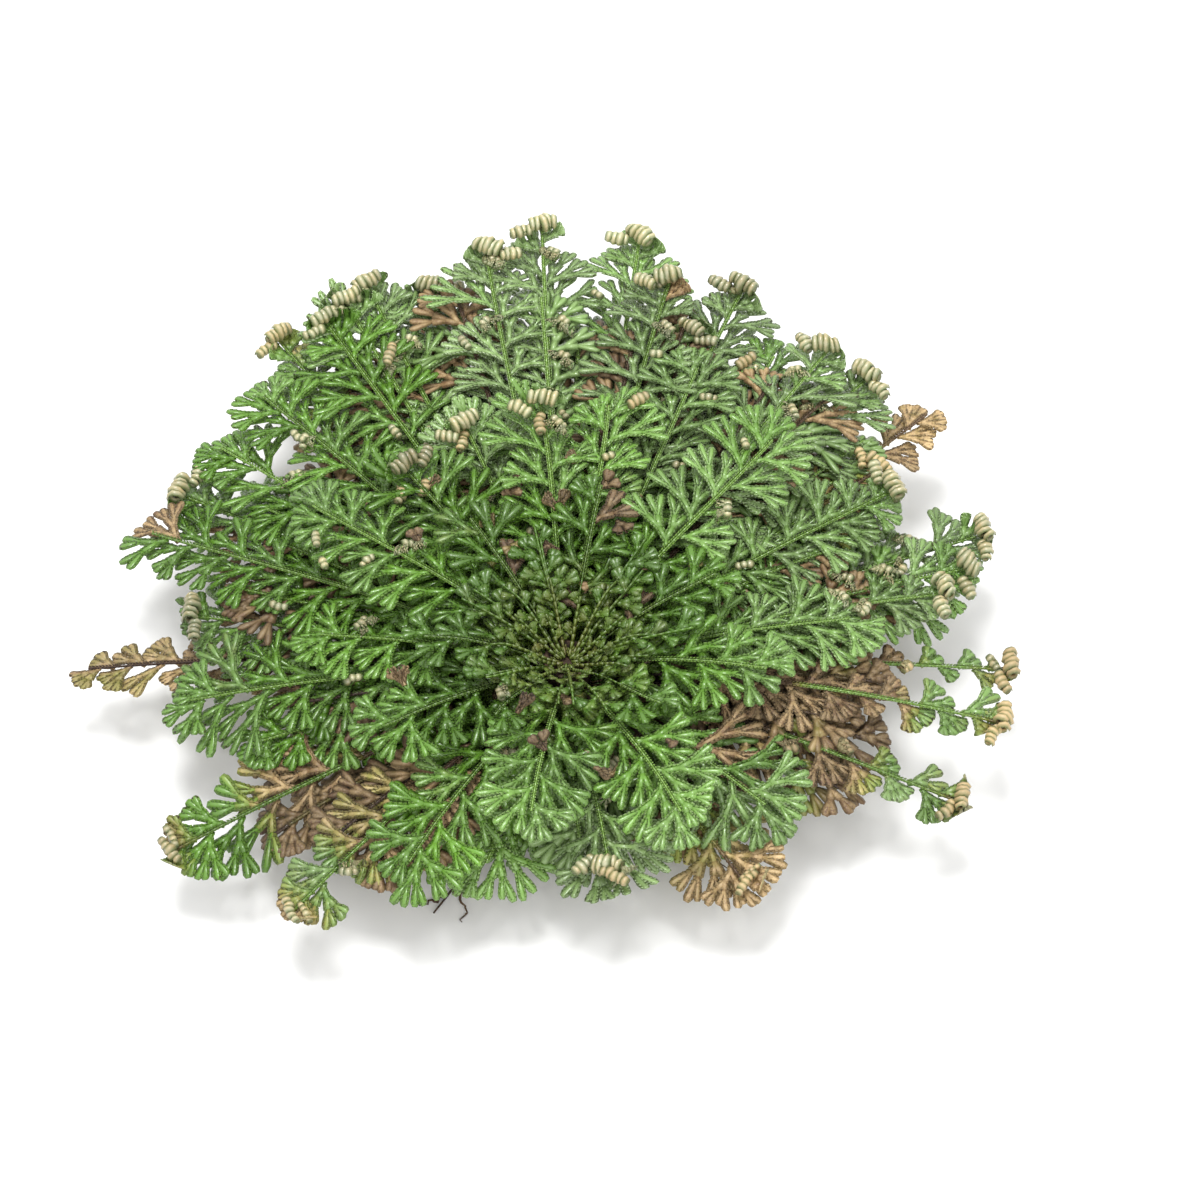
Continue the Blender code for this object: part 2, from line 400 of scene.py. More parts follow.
# %% The scale leaf
start_part(bpy.ops.mesh.primitive_cone_add, vertices=3, radius1=0.5, radius2=0, depth=0.2,
           location=(0.3, 0, 0.1), rotation=(0, 0, math.pi / 2))
bpy.ops.mesh.select_all(action="SELECT")
bpy.ops.transform.resize(value=(TRIANGLE_TO_WIDTH, 0.8, 1), orient_type="LOCAL")
select_where(lambda place: place.z > 0.05)
bpy.ops.transform.translate(value=(0.70, 0, -0.02))
scale_leaf = end_part("scale leaf")

# %% [markdown]
# A frond tip that is still rolled shows its fingers curled up tightly, side by side. One such finger is
# a flat diamond carried round the Y axis a little more than once. It shrinks at each step, so the curl
# closes on itself as a snail's shell does.

# %% The curled finger
CURL_TURN = math.radians(430)
CURL_STEPS = 9

start_part(bpy.ops.mesh.primitive_circle_add, vertices=4, radius=0.5, fill_type="NGON",
           location=(0.62, 0, 0))
bpy.ops.transform.resize(value=(0.46, 1, 1))
for step in range(CURL_STEPS):
    bpy.ops.mesh.extrude_region_move(TRANSFORM_OT_translate={"value": (0, 0, 0)})
    bpy.ops.transform.rotate(value=CURL_TURN / CURL_STEPS, orient_axis="Y", center_override=(0, 0, 0))
    bpy.ops.transform.resize(value=(0.93, 0.97, 0.93), center_override=(0, 0, 0))
curl = end_part("curled finger")

# %% [markdown]
# A side branch is a small fan. Its stalk forks up to three times into twigs that nearly touch, and the
# last twigs are its fingers. The fan is first laid out flat, as a list of twigs with their starts,
# headings and lengths. It lies along +X with its stalk at the origin, and +Y is its edge towards the
# crown. All lengths are in millimetres, and each list has an entry for the stalk and for every fork.

# %% A fan, laid out flat
TWIG_LENGTHS = {3: (1.5, 2.2, 2.1, 3.7), 2: (2.2, 2.9, 4.8), 1: (3.0, 5.2)}
TWIG_HALF_WIDTHS = {3: (0.72, 0.92, 0.98, 0.98), 2: (0.70, 1.00, 1.16), 1: (0.65, 1.10)}
FORK_ANGLES = {3: (26.0, 18.0, 12.5), 2: (24.0, 13.5), 1: (15.0,)}
Twig = np.dtype([("x", float), ("y", float), ("heading", float), ("length", float),
                 ("half", float), ("last", bool)])


def fan_twigs(rng, size, spread, forks):
    """The twigs of one fan. size scales its lengths, spread its angles, forks is 1 to 3."""
    twigs = []
    lengths, halves, angles = TWIG_LENGTHS[forks], TWIG_HALF_WIDTHS[forks], FORK_ANGLES[forks]

    def grow(x, y, heading, depth):
        length = size * lengths[depth] * rng.uniform(0.85, 1.15)
        last = depth == forks
        twigs.append((x, y, heading, length, halves[depth] * rng.uniform(0.9, 1.1), last))
        if last:
            return
        x, y = x + length * math.cos(heading), y + length * math.sin(heading)
        for side in (1, -1):
            turn = side * angles[depth] * spread * rng.uniform(0.85, 1.15)
            grow(x, y, heading + math.radians(turn), depth + 1)

    grow(0.0, 0.0, 0.0, 0)
    return np.array(twigs, Twig)


sample_fan = fan_twigs(np.random.default_rng(0), 1.0, 1.0, 3)
print("a fan that forks three times has", len(sample_fan), "twigs")

# %% [markdown]
# Every twig is clad with two rows of scale leaves that point forwards and outwards and overlap like
# roof tiles. `clad` turns a list of twigs into copies of the stretch, the fingertip and the leaf. Each
# copy is one row of ten numbers: x, y, z, heading, its length, width and thickness, how much it belongs
# to the rib, how dark its tip is, and the side of the twig that it is on. Copies then become points,
# all copies of a part at once, because a loop over a hundred thousand leaves would take minutes.

# %% Cladding twigs with leaves
LEAF_PITCH = 0.99
LEAF_LENGTH = 1.25
LEAF_WIDTH = 0.62
LEAF_HEIGHT = 0.9
LEAF_ANGLE = 15.0
LEAF_ROWS = ((1, 0.15), (-1, 0.6))
TWIG_THICKNESS = 0.27
TWIG_OVERLAP = 1.04


def smooth(value, low, high):
    """0 up to low, 1 from high on, and an easy slope between."""
    share = np.clip((value - low) / (high - low), 0, 1)
    return share * share * (3 - 2 * share)


def turned(x, y, angle):
    """The place (x, y), turned anticlockwise about the origin."""
    cos, sin = np.cos(angle), np.sin(angle)
    return x * cos - y * sin, x * sin + y * cos


def clad(twigs, rng, dark_tips, leafy=True):
    """Copies of the stretch, the fingertip and the leaf that make up these twigs."""
    stems = np.zeros((len(twigs), 10))
    stems[:, 0], stems[:, 1], stems[:, 3] = twigs["x"], twigs["y"], twigs["heading"]
    stems[:, 4] = twigs["length"] * TWIG_OVERLAP
    stems[:, 5] = twigs["half"]
    stems[:, 6] = TWIG_THICKNESS
    dark = np.where(twigs["last"] & (rng.random(len(twigs)) < dark_tips), 1.0, 0.0)
    leaves = []
    for twig, darkness in zip(twigs, dark):
        length, last = twig["length"], twig["last"]
        steps = max(2, round(length / LEAF_PITCH)) * leafy
        for step in range(steps):
            closing = step == steps - 1
            for side, ahead in LEAF_ROWS:
                along = (step + ahead) * length / steps
                across = side * twig["half"] * (0.22 + 0.26 * (step + 0.5) / steps if last else 0.45)
                if last:
                    across *= 1 - 0.35 * smooth(along / length, 0.65, 1.0)
                angle = LEAF_ANGLE * (-0.3 if last and closing else 1.0)
                heading = twig["heading"] + side * math.radians(angle * rng.uniform(0.8, 1.2))
                room = min(LEAF_LENGTH, length - along + (0.1 if last else 1.0))
                x, y = turned(along, across, twig["heading"])
                leaves.append((twig["x"] + x, twig["y"] + y, 0.05, heading, room * rng.uniform(0.9, 1.1),
                               LEAF_WIDTH * (0.5 + twig["half"]) * rng.uniform(0.9, 1.1), LEAF_HEIGHT,
                               0.0, darkness if closing else 0.0, side))
    last = twigs["last"]
    return stems[~last], stems[last], np.array(leaves).reshape(-1, 10)


def place_copies(part, made):
    """The points of every copy of a part, as one array of copies by points by three."""
    points = part[0]
    x, y = turned(points[:, 0] * made[:, 4, None], points[:, 1] * made[:, 5, None], made[:, 3, None])
    z = points[:, 2] * made[:, 6, None] + made[:, 2, None]
    return np.stack([made[:, 0, None] + x, made[:, 1, None] + y, z], 2)


_, sample_tips, sample_leaves = clad(sample_fan, np.random.default_rng(0), 0.0)
print("it has", len(sample_tips), "fingers and", len(sample_leaves), "leaves and reaches",
      place_copies(fingertip, sample_tips)[..., 0].max().round(1), "mm")

# %% [markdown]
# The CAD blade says where a frond lies. Its points on the blade's middle line give the height of the
# rib at every distance from the crown, and its farthest points give its direction and length.

# %% Reading a frond's place off its CAD blade
RIB_LIFT = 0.45


def points_of(piece):
    """The points of a piece's mesh, in mm."""
    return np.array([vertex.co[:] for vertex in piece.data.vertices]) / MM


def read_blade(name):
    """(direction in radians, reach, distances from the axis, heights of the rib there), in mm."""
    points = points_of(nodes[name])
    away = np.hypot(points[:, 0], points[:, 1])
    end = points[away > away.max() - 0.6].mean(0)
    direction = math.atan2(end[1], end[0])
    along, across = turned(points[:, 0], points[:, 1], -direction)
    on_line = np.abs(across) < 0.25
    stations = np.unique(along[on_line].round(1))
    lowest = [points[on_line & (np.abs(along - s) < 0.15), 2].min() for s in stations]
    return direction, along.max(), stations, np.array(lowest) + RIB_LIFT


blades = {name: read_blade(name) for name in nodes if "_frond_" in name}
for name in ("outer_frond_12", "middle_frond_05", "inner_frond_01"):
    direction, reach, stations, heights = blades[name]
    print(name, "points", round(math.degrees(direction)), "degrees, reaches", round(reach), "mm and is",
          heights.min().round(1), "to", heights.max().round(1), "mm up")

# %% [markdown]
# A frond is laid out flat and then bent. Its rib follows the CAD blade and goes on a little past the
# blade's end, for the last fans to lie on. There the tip of a rolled frond rises steeply, and the tip
# of a flat one droops. Across the rib the frond is cupped and turned a little, and seen from above it
# may bend to one side.

# %% Bending a flat frond
CURVE_STEP = 0.25
SMOOTHING_STEPS = 17
PAST_END = 20
TIP_RISE = 0.12
TIP_DROOP = -0.03
RISE_LENGTH = 11
SWAY_LENGTH = 30


class Lay:
    """The surface that a frond lies on: places are distance along, distance across and height."""

    def __init__(self, direction, reach, stations, heights, roll=0.0, bend=0.0, cup=0.0,
                 sway=0.0, start=5.3, old=False):
        a = np.arange(start, reach - roll + CURVE_STEP, CURVE_STEP)
        z = np.interp(a, stations, heights)
        z = np.pad(z, SMOOTHING_STEPS // 2, mode="reflect", reflect_type="odd")
        z = np.convolve(z, np.ones(SMOOTHING_STEPS) / SMOOTHING_STEPS, "valid")
        angle = np.arctan2(np.gradient(z), np.gradient(a))
        s = start + np.concatenate([[0], np.cumsum(np.hypot(np.diff(a), np.diff(z)))])
        run = np.arange(1, PAST_END + 1)
        slope = angle[-1] + (TIP_RISE if roll else TIP_DROOP) * np.minimum(run, RISE_LENGTH)
        self.s = np.append(s, s[-1] + run)
        self.a = np.append(a, a[-1] + np.cumsum(np.cos(slope)))
        self.z = np.append(z, z[-1] + np.cumsum(np.sin(slope)))
        self.angle = np.append(angle, slope)
        self.start, self.end, self.direction = start, s[-1], direction
        self.bend, self.cup, self.sway, self.old = bend, cup, sway, old

    def put(self, flat):
        """World places in mm of flat places (..., 3)."""
        s, t, h = flat[..., 0], flat[..., 1], flat[..., 2]
        a, z = np.interp(s, self.s, self.a), np.interp(s, self.s, self.z)
        angle = np.interp(s, self.s, self.angle)
        turn = self.cup * t + self.sway * smooth(s, self.start, self.start + SWAY_LENGTH)
        across, rise = turned(t, h, turn)
        a = a - rise * np.sin(angle)
        z = z + rise * np.cos(angle)
        share = np.clip((s - self.start) / (self.end - self.start), 0, 1.3)
        across = across + self.bend * np.sin(2.6 * share) * share
        return np.stack([*turned(a, across, self.direction), z], -1)


sample_lay = Lay(*blades["outer_frond_12"])
print("outer_frond_12 has a rib", (sample_lay.end - sample_lay.start).round(1), "mm long")

# %% [markdown]
# The rib is a row of overlapping stretches that taper, under a braid of small leaves that point
# forwards. Near the crown other fronds hide it, so there it is thin and has no braid. The youngest
# fronds have only two pairs of leaves on it, at the foot.
#
# A frond is a list of entries: a part, the points of its copies laid out flat, the last three numbers
# of each copy, the number of the fan, and whether the fan is mirrored.

# %% The rib
RIB_STEP = 1.6
RIB_HALF_WIDTH = 0.50
RIB_THICKNESS = 0.42
RIB_LEAF_PITCH = 0.73
RIB_LEAF_ROWS = ((1, 0.25), (-1, 0.75))
BRAID_START = 18.0
RIB = -1


def rib_entries(lay, braided):
    length = lay.end - lay.start
    steps = int(length / RIB_STEP)
    rib = np.zeros((steps, 10))
    rib[:, 0] = lay.start + np.arange(steps) * length / steps
    taper = 1 - 0.45 * np.arange(steps) / steps
    if braided:
        taper *= 0.55 + 0.45 * smooth(rib[:, 0], 12, 30)
    rib[:, 2], rib[:, 4] = 0.25, 1.75
    rib[:, 5], rib[:, 6] = RIB_HALF_WIDTH * taper, RIB_THICKNESS * taper
    rib[:, 7] = smooth(rib[:, 0], 12, 26) if braided else 0.35
    braid = []
    for step in range(int(length / RIB_LEAF_PITCH) if braided else 2):
        for side, ahead in RIB_LEAF_ROWS:
            s = lay.start + (step + ahead) * RIB_LEAF_PITCH
            if braided and s < BRAID_START:
                continue
            scale = 1 - 0.35 * (s - lay.start) / length
            braid.append((s, side * 0.27 * scale, 0.42, side * math.radians(20), 1.25 * scale,
                          0.66 * scale, 1.2, 0.8, 0.0, side))
    braid = np.array(braid)
    return [(stretch, place_copies(stretch, rib), rib[:, 7:], RIB, False),
            (scale_leaf, place_copies(scale_leaf, braid), braid[:, 7:], RIB, False)]


print("its braid has", len(rib_entries(sample_lay, True)[1][1]), "leaves")

# %% [markdown]
# Where a tip or a fan is still rolled, the fan curls up and back and draws in sideways, and a row of
# curled fingers lies on it. Packed closer than they are wide, they look like the ribbed barrels in the
# photograph.

# %% Rolling a fan, and a row of curls
CURL_WIDTH = 2.1
CURL_SPACING = 0.60 * CURL_WIDTH


def roll_fan(points, start, radius):
    """Rolls a flat fan up and back from a distance along it."""
    x, y, z = points[..., 0], points[..., 1], points[..., 2]
    over = np.maximum(0, x - start)
    angle = over / radius
    rolled_x = start + (radius - z) * np.sin(angle)
    rolled_z = radius - (radius - z) * np.cos(angle)
    narrow = 1 - 0.55 * np.clip(over / (2 * radius), 0, 1)
    return np.stack([np.where(over > 0, rolled_x, x), y * narrow, np.where(over > 0, rolled_z, z)], -1)


def curl_entry(rng, place, heading, size, count, fan):
    """A row of curled fingers, side by side, no two quite alike."""
    rows = []
    for number in range(count):
        middle = number - (count - 1) / 2
        turn, lean = rng.uniform(-0.6, 0.6), rng.uniform(-0.16, 0.16)
        scale = size * (1 - 0.10 * abs(middle)) * rng.uniform(0.9, 1.1)
        x, y, z = (part_axis * scale for part_axis in curl[0].T)
        x, z = turned(x, z, turn)
        y = y * CURL_WIDTH / size + middle * CURL_SPACING
        x, z = x + rng.uniform(-0.12, 0.12) * size, z + rng.uniform(-0.1, 0.1) * size
        x, y = turned(x, y, heading + lean)
        rows.append(np.stack([place[0] + x, place[1] + y, place[2] + z], -1))
    return curl, np.array(rows), np.zeros((count, 3)), fan, False


sample_curls = curl_entry(np.random.default_rng(0), (0, 0, 0), 0, 3.0, 5, 0)[1]
print("five curls of size 3 fill", np.ptp(sample_curls.reshape(-1, 3), axis=0).round(1), "mm")

# %% [markdown]
# A whole frond has fans to the left and right in turn, each turned forwards and tilted so that its edge
# towards the crown lies over the fan behind it. Fans are small at the frond's foot and near its tip,
# and on the darkest dead fronds before the tip too, so that the stem looks bare. A frond's habit says
# how its fans are: beads and dark_tips are the chances of a rolled fan and of a dark finger, and knob
# is the size of a rolled tip.

# %% A frond
FAN_PITCH = 4.1
FAN_REACH = 9.2
BEAD_ROLL = 1.15
TIP_ROLL = 2.4
Habit = namedtuple("Habit", "width spread density dark_tips beads tilt forks knob leafy braided bare",
                   defaults=(3, 0.0, True, True, 0.0))


def fan_size(share, habit):
    envelope = 0.35 + 0.65 * smooth(share, 0.0, 0.3)
    envelope -= (0.55 if habit.knob else 0.35) * smooth(share, 0.8, 1.0)
    envelope *= 1 - habit.bare * smooth(share, 0.5, 0.62) * (1 - smooth(share, 0.84, 0.9))
    return habit.width / 2 / FAN_REACH * envelope


def fan_entries(rng, s, side, share, fan, habit):
    """The entries of a fan whose stalk leaves the rib at s. side is 1 for left and -1 for right."""
    size = fan_size(share, habit) * rng.uniform(0.82, 1.18)
    forks = habit.forks if size > 0.62 else max(1, habit.forks - 1) if size > 0.36 else 1
    if rng.random() < (0.12 if habit.forks == 3 else 0.0):
        forks = max(1, forks - 1)
    twigs = fan_twigs(rng, size, habit.spread * rng.uniform(0.9, 1.12), forks)
    lean = math.radians((58 - 22 * share) * rng.uniform(0.9, 1.1))
    groups = clad(twigs, rng, habit.dark_tips, habit.leafy)
    bead = rng.random() < habit.beads * (share > 0.35)
    height = rng.uniform(-0.35, 0.15)
    droop = rng.uniform(0.002, 0.020)
    made = []
    for part, group in zip((stretch, fingertip, scale_leaf), groups):
        if not len(group):
            continue
        points = place_copies(part, group)
        if bead:
            points = roll_fan(points, 2.6 * size, BEAD_ROLL)
        elif habit.knob and share > 0.93:
            points = roll_fan(points, 4.0 * size, TIP_ROLL)
        x, y = points[..., 0], points[..., 1]
        lift = points[..., 2] + height + habit.tilt * y - droop * x * x
        x, y = turned(x, y, lean)
        made.append((part, np.stack([s + x, side * y, lift], -1), group[:, 7:], fan, side < 0))
    if bead:
        x, y = turned(3.4 * size, 0.0, lean)
        spot = (s + x, side * y, height + 1.0)
        made.append(curl_entry(rng, spot, side * lean, 1.5, rng.integers(2, 4), fan))
    return made


def frond_entries(rng, lay, habit):
    made = rib_entries(lay, habit.braided)
    s = lay.start + 3.0 + rng.uniform(0, 2)
    side = 1 if rng.random() < 0.5 else -1
    fan = 0
    while s < lay.end - 1.5:
        share = (s - lay.start) / (lay.end - lay.start)
        made += fan_entries(rng, s, side, share, fan, habit)
        fan += 1
        s += FAN_PITCH / habit.density * rng.uniform(0.85, 1.15) * (0.75 if share > 0.85 else 1)
        side = -side
    if habit.knob:
        for across, share, count in ((0, 1.0, 5), (rng.choice([-1, 1]) * 1.5, 0.62, 4)):
            spot = (lay.end - (1 - share) * 5, across * habit.knob, habit.knob * 0.85 * share)
            heading = rng.uniform(-0.6, 0.6)
            made.append(curl_entry(rng, spot, heading, habit.knob * 1.16 * share, count, fan))
    return made


sample_frond = frond_entries(np.random.default_rng(0), sample_lay, Habit(24, 1, 1, 0, 0, 0.2))
print("a frond like outer_frond_12 has", sum(len(entry[1]) for entry in sample_frond), "copies")

# %% [markdown]
# All entries of a frond become one mesh, written with foreach_set, because joining thousands of objects
# would take far longer. Every fan gets a brightness and a luck of its own, which a tone rule turns into
# withered, grey or light tissue. A leaf is pale on its outer side and at its tip, partly as a painted
# highlight, and has painted shade at its base; a curl is pale along its middle and has painted shade
# on its flanks.

# %% One mesh from many copies


def margin_of(part, numbers):
    """How near each point of each copy is to a pale margin; low numbers get painted shade."""
    points = part[0]
    if part is curl:
        return np.clip(0.55 - np.abs(points[:, 1]) * 1.6, 0, 1)
    if part is scale_leaf:
        outward = points[None, :, 1] * numbers[:, 2, None]
        return np.clip(0.12 + 0.5 * points[None, :, 0] + 1.1 * outward, 0, 1)
    return 0.25


def add_mesh(name, points, faces, layers):
    """A new object. Each of its layers is a name, a domain and three numbers for every item."""
    mesh = bpy.data.meshes.new(name)
    mesh.vertices.add(len(points))
    mesh.vertices.foreach_set("co", (points * MM).ravel())
    mesh.loops.add(len(faces) * 3)
    mesh.loops.foreach_set("vertex_index", faces.ravel().astype(np.int32))
    mesh.polygons.add(len(faces))
    mesh.polygons.foreach_set("loop_start", np.arange(0, len(faces) * 3, 3, dtype=np.int32))
    mesh.polygons.foreach_set("loop_total", np.full(len(faces), 3, np.int32))
    for key, domain, values in layers:
        layer = mesh.attributes.new(key, "FLOAT_VECTOR", domain)
        layer.data.foreach_set("vector", values.ravel().astype(np.float32))
    mesh.update(calc_edges=True)
    mesh.validate()
    mesh.materials.append(frond_tissue)
    return add_object(name, mesh)


def build_piece(name, lays, tone_of, rng):
    """One mesh of every entry on every lay. tone_of gives the tone of a copy from its flat place."""
    all_points, all_faces, all_tone, all_leaf, all_under = [], [], [], [], []
    count = 0
    for lay, made in lays:
        light_of_fan = {}
        for part, flat, numbers, fan, mirrored in made:
            rows, each = flat.shape[:2]
            if fan not in light_of_fan:
                light_of_fan[fan] = (rng.uniform(0.15, 0.65), rng.normal(0, 1))
            fan_light, fan_luck = light_of_fan[fan]
            tone = tone_of(lay, flat.mean(1), fan, fan_luck)
            tone[:, 2] = np.clip(tone[:, 2] + fan_light + rng.normal(0, 0.10, rows), 0, 1.6)
            leaf = np.zeros((rows, each, 3))
            leaf[:, :, 0] = margin_of(part, numbers)
            leaf[:, :, 1:] = numbers[:, None, :2]
            faces = part[1][:, ::-1] if mirrored else part[1]
            first = (np.arange(rows) * each)[:, None, None] + count
            all_points.append(lay.put(flat).reshape(-1, 3))
            all_faces.append((faces[None] + first).reshape(-1, 3))
            all_tone.append(np.repeat(tone, each, axis=0))
            all_leaf.append(leaf.reshape(-1, 3))
            all_under.append(np.tile(np.ones(len(faces)) if part is curl else part[2], rows))
            count += rows * each
    layers = (("tone", "POINT", np.concatenate(all_tone)), ("leaf", "POINT", np.concatenate(all_leaf)),
              ("under", "FACE", np.repeat(np.concatenate(all_under), 3)))
    return add_mesh(name, np.concatenate(all_points), np.concatenate(all_faces), layers)


print("each piece keeps tone and leaf for its points, and under for its faces")

# %% [markdown]
# A tone rule says where along a frond its tissue is grey, withered or dead. A fresh frond is olive near
# the crown and turns grey and lighter outwards, with a withered fan here and there. On others the tip
# withers, the whole frond is dead, or its middle is dead and its end still green. Many of the fronds
# under the others are old, which makes them withered, and they are darker throughout with painted
# shade, because they lie under the others.

# %% The tone of a frond
MOST_WITHERED_FAN = 0.78


def tone_rule(tissue, grey, shade):
    """A function that gives each copy's wither, grey and light from its place on the lay."""

    def tone_of(lay, middle, fan, luck):
        share = (middle[:, 0] - lay.start) / (lay.end - lay.start)
        near_rib = smooth(-np.abs(middle[:, 1]), -2, 0)
        away = np.interp(middle[:, 0], lay.s, lay.a)
        tone = np.zeros((len(middle), 3))
        tone[:, 1] = grey * smooth(away, 15, 55) + 0.12 * luck
        tone[:, 2] = 0.55 * smooth(away, 14, 45) + shade - 0.08
        patch = 0.16 * max(0.0, luck - 1.1) + 0.5 * (luck > 2.1) if fan != RIB else 0.0
        if tissue == "fresh":
            tone[:, 0] = patch + 0.20 * (1 - smooth(away, 12, 32))
        elif tissue == "tips":
            tone[:, 0] = smooth(share, 0.55, 0.95) * 0.62 + patch
        elif tissue == "dead":
            tone[:, 0] = 0.66 + 0.10 * luck + 0.2 * near_rib
        else:
            last = 0.42 if fan == RIB else 0.70
            dead = smooth(share, 0.02, 0.2) * (1 - smooth(share, last, last + 0.16))
            tone[:, 0] = dead * (0.70 + 0.12 * luck) + 0.2 * dead * near_rib
            tone[:, 0] += 0.3 * smooth(share, 0.8, 1.0) * (luck > 0.3) + 0.3 * smooth(share, 0.93, 1.0)
            if tissue == "dead_dark":
                tone[:, 0] += dead * 0.14
                tone[:, 2] -= dead * 0.22
            else:
                tone[:, 2] += dead * 0.25
        # Old fronds that lie under the others wither, and their light number drops as painted shade.
        if lay.old:
            tone[:, 0] += min(0.8, 0.62 + 0.12 * luck) * (luck > -0.1 or tissue.startswith("dead_"))
            tone[:, 2] -= 0.35
        if fan != RIB:
            tone[:, 0] = np.minimum(tone[:, 0], MOST_WITHERED_FAN)
        return tone

    return tone_of


sample_tone = tone_rule("dead", 0.5, 0.0)(sample_lay, np.array([[60.0, 0, 0]]), 0, 0.0)
print("the middle of a dead frond has tone", sample_tone[0].round(2))

# %% [markdown]
# What each frond looks like was chosen: the size of its rolled tip, its tissue, how grey it is,
# how wide its fans spread, how much wider it is than its blade, its share of rolled fans, and its bend
# to one side. Fronds that are not listed are fresh, and grey-green ones among them have a rolled tip.

# %% The looks of the fronds
Look = namedtuple("Look", "roll tissue grey spread wider beads bend")
LOOKS = {
    "outer_frond_01": Look(2.8, "dead_dark", 0.5, 0.9, 1.1, 0.2, 1.0),
    "outer_frond_06": Look(0.0, "tips", 0.5, 0.7, 1.2, 0.0, -2.0),
    "outer_frond_17": Look(2.8, "dead_middle", 0.5, 0.8, 1.2, 0.0, 2.0),
    "outer_frond_23": Look(0.0, "dead", 0.4, 0.75, 1.25, 0.0, -3.0),
    "outer_frond_26": Look(1.8, "dead_middle", 0.5, 0.9, 1.1, 0.1, 2.0),
    "outer_frond_27": Look(1.6, "dead_middle", 0.7, 0.9, 1.1, 0.2, -2.0),
    "outer_frond_31": Look(1.4, "tips", 0.6, 0.9, 1.1, 0.0, 2.0),
    "outer_frond_33": Look(2.6, "dead_dark", 0.6, 0.95, 1.15, 0.1, -2.0),
    "outer_frond_34": Look(2.9, "dead_dark", 0.6, 0.95, 1.15, 0.1, 2.0),
}
FRESH_LOOK = Look(0.0, "fresh", 0.45, 1.0, 1.22, 0.03, 0.0)
ROLLED_LOOK = Look(3.3, "fresh", 0.9, 1.0, 1.28, 0.10, 0.0)


def frond_look(name):
    return LOOKS.get(name, ROLLED_LOOK if slots[name] == "grey_green_frond" else FRESH_LOOK)


print(sum(frond_look(name).roll > 0 for name in blades), "of", len(blades), "fronds have a rolled tip")

# %% [markdown]
# A piece may hold more than its own frond. Two shorter fronds with bare fans lie under almost every
# outer frond, most of them old, withered and darkened with painted shade, and close the gaps through
# which the table would show. Two short tongues stand beside each inner frond, and four outer fronds
# have a second one beside them.

# %% The fronds that go with another
UNDER_DROP = 1.6
# The share of the fronds underneath that are old, which wither and get painted shade.
OLD_AND_SHADED_SHARE = 0.6
TONGUES = ((-0.42, 0.78), (0.45, 0.66))
TONGUE_WIDTH = 11
BESIDE = {"outer_frond_06": (-0.06, 0.85), "outer_frond_10": (0.07, 0.85),
          "outer_frond_16": (0.06, 0.98), "outer_frond_18": (-0.25, 1.12)}
BESIDE_ROLL = 2.6


def under_frond(rng, blade, side, width, look):
    direction, reach, stations, heights = blade
    far = max(0, math.sin(direction))
    lay = Lay(direction + side * rng.uniform(0.05, 0.12), reach * (rng.uniform(0.62, 0.8) + 0.1 * far),
              stations, heights - UNDER_DROP, bend=rng.uniform(-2, 2), cup=-0.01, sway=side * 0.1,
              old=look.tissue.startswith("dead_") or rng.random() < OLD_AND_SHADED_SHARE)
    return lay, frond_entries(rng, lay, Habit(width * 0.9, look.spread, 0.9, 0.05, 0.0, 0.1, leafy=False))


def tongue(rng, blade, turn, share):
    direction, reach, stations, heights = blade
    direction += turn * rng.uniform(0.9, 1.1)
    heights = heights + rng.uniform(0.2, 1.2)
    lay = Lay(direction, reach * share, stations, heights, bend=rng.uniform(-1, 1), cup=0.02)
    habit = Habit(TONGUE_WIDTH, 0.85, 1.25, 0.0, 0.0, 0.08, forks=2, braided=False)
    return lay, frond_entries(rng, lay, habit)


def frond_beside(rng, blade, turn, share, width, look):
    direction, reach, stations, heights = blade
    lay = Lay(direction + turn, reach * share, stations, heights, roll=BESIDE_ROLL,
              bend=rng.uniform(-2, 2), sway=rng.uniform(-0.1, 0.1))
    habit = Habit(width * 1.15, look.spread, 1.0, 0.2, 0.1, 0.15, knob=BESIDE_ROLL)
    return lay, frond_entries(rng, lay, habit)


print(len(BESIDE), "fronds have another beside them")

# %% [markdown]
# Each frond is made from its own seed, so that a change to one leaves the others as they are. In the
# photograph the left side is greener and darker, the far side has wider fans that lie closer, and the
# inner fronds are the darkest and hardly grey.

# %% The fronds


def blade_width(name):
    points = points_of(nodes[name])
    return np.ptp(turned(points[:, 0], points[:, 1], -blades[name][0])[1])


